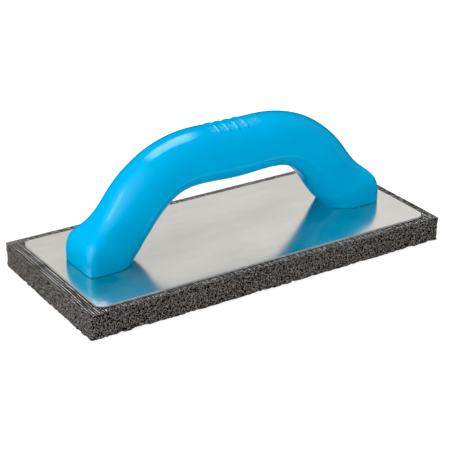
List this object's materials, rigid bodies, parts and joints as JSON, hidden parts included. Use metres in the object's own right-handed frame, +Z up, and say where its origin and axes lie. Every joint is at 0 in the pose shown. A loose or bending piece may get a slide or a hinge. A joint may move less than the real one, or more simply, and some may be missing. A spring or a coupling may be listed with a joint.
{
  "type": "grout float",
  "caption": "Hand grout float: bridge handle on a metal backing plate with a bonded cellular rubber pad.",
  "frame": {"origin": "centre of the pad's flat working face, which the float rests on", "axes": "+X along the float and its handle, +Y across it, +Z up from the pad to the grip"},
  "size_m": [0.23, 0.101, 0.0819],
  "materials": {
    "blue_plastic": "glossy moulded polypropylene, cyan blue",
    "screw_steel": "zinc plated",
    "plate_aluminium": "bright mill finish with a fine grain",
    "adhesive": "dried contact adhesive",
    "ribbed_facing": "fine ribbed textile facing, ribs across the pad",
    "cellular_rubber": "open-cell charcoal brown rubber, matt"
  },
  "bodies": {
    "root": {"handle_shell": "blue_plastic", "handle_underside_cover": "blue_plastic", "screw_left_outer": "screw_steel", "screw_left_inner": "screw_steel", "screw_right_inner": "screw_steel", "screw_right_outer": "screw_steel", "back_plate": "plate_aluminium", "adhesive_film": "adhesive", "pad_facing": "ribbed_facing", "foam_pad": "cellular_rubber"}
  },
  "joints": []
}
